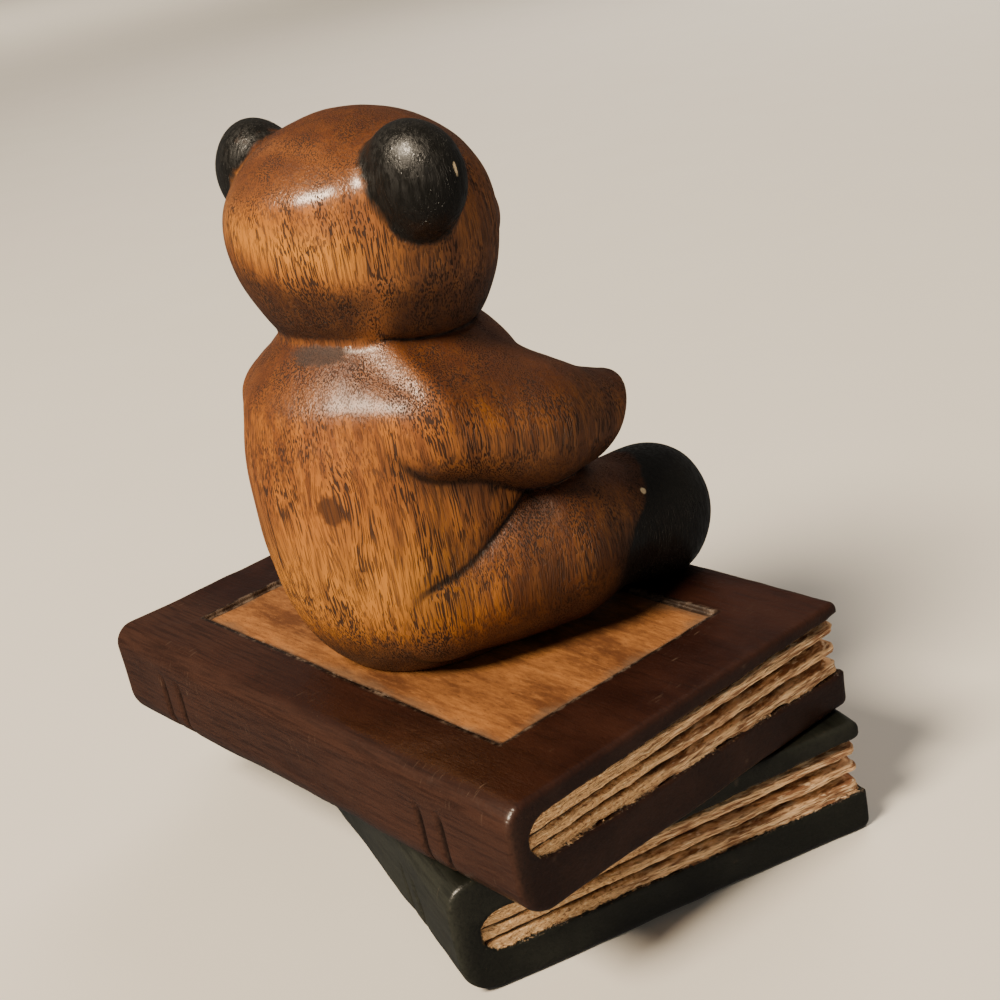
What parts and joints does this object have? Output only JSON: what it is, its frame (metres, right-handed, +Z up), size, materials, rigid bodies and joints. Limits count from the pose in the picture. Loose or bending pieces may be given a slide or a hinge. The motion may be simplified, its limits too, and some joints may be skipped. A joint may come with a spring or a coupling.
{
  "type": "bear figurine",
  "caption": "Carved wooden bear with dark ears and feet, sitting on a plinth of stacked books laid at a slight turn; a small tabletop sculpture seen in the round.",
  "frame": {"origin": "on the underside of the lower book, straight below the middle of the bear and of the upper book", "axes": "+Z up; the bear faces -Y and its right side is at -X; both spines are at +Y; the upper book's length runs along X"},
  "size_m": [0.174, 0.1396, 0.171],
  "materials": {
    "bear_wood": "waxed, satin; ears, nose and foot ends painted black",
    "maroon_book": "satin paint on the covers; bare rough wood on the pages and the top panel",
    "green_black_book": "satin paint on the covers; bare rough wood on the pages"
  },
  "bodies": {
    "root": {"bear": "bear_wood", "upper_book": "maroon_book", "lower_book": "green_black_book"}
  },
  "joints": []
}
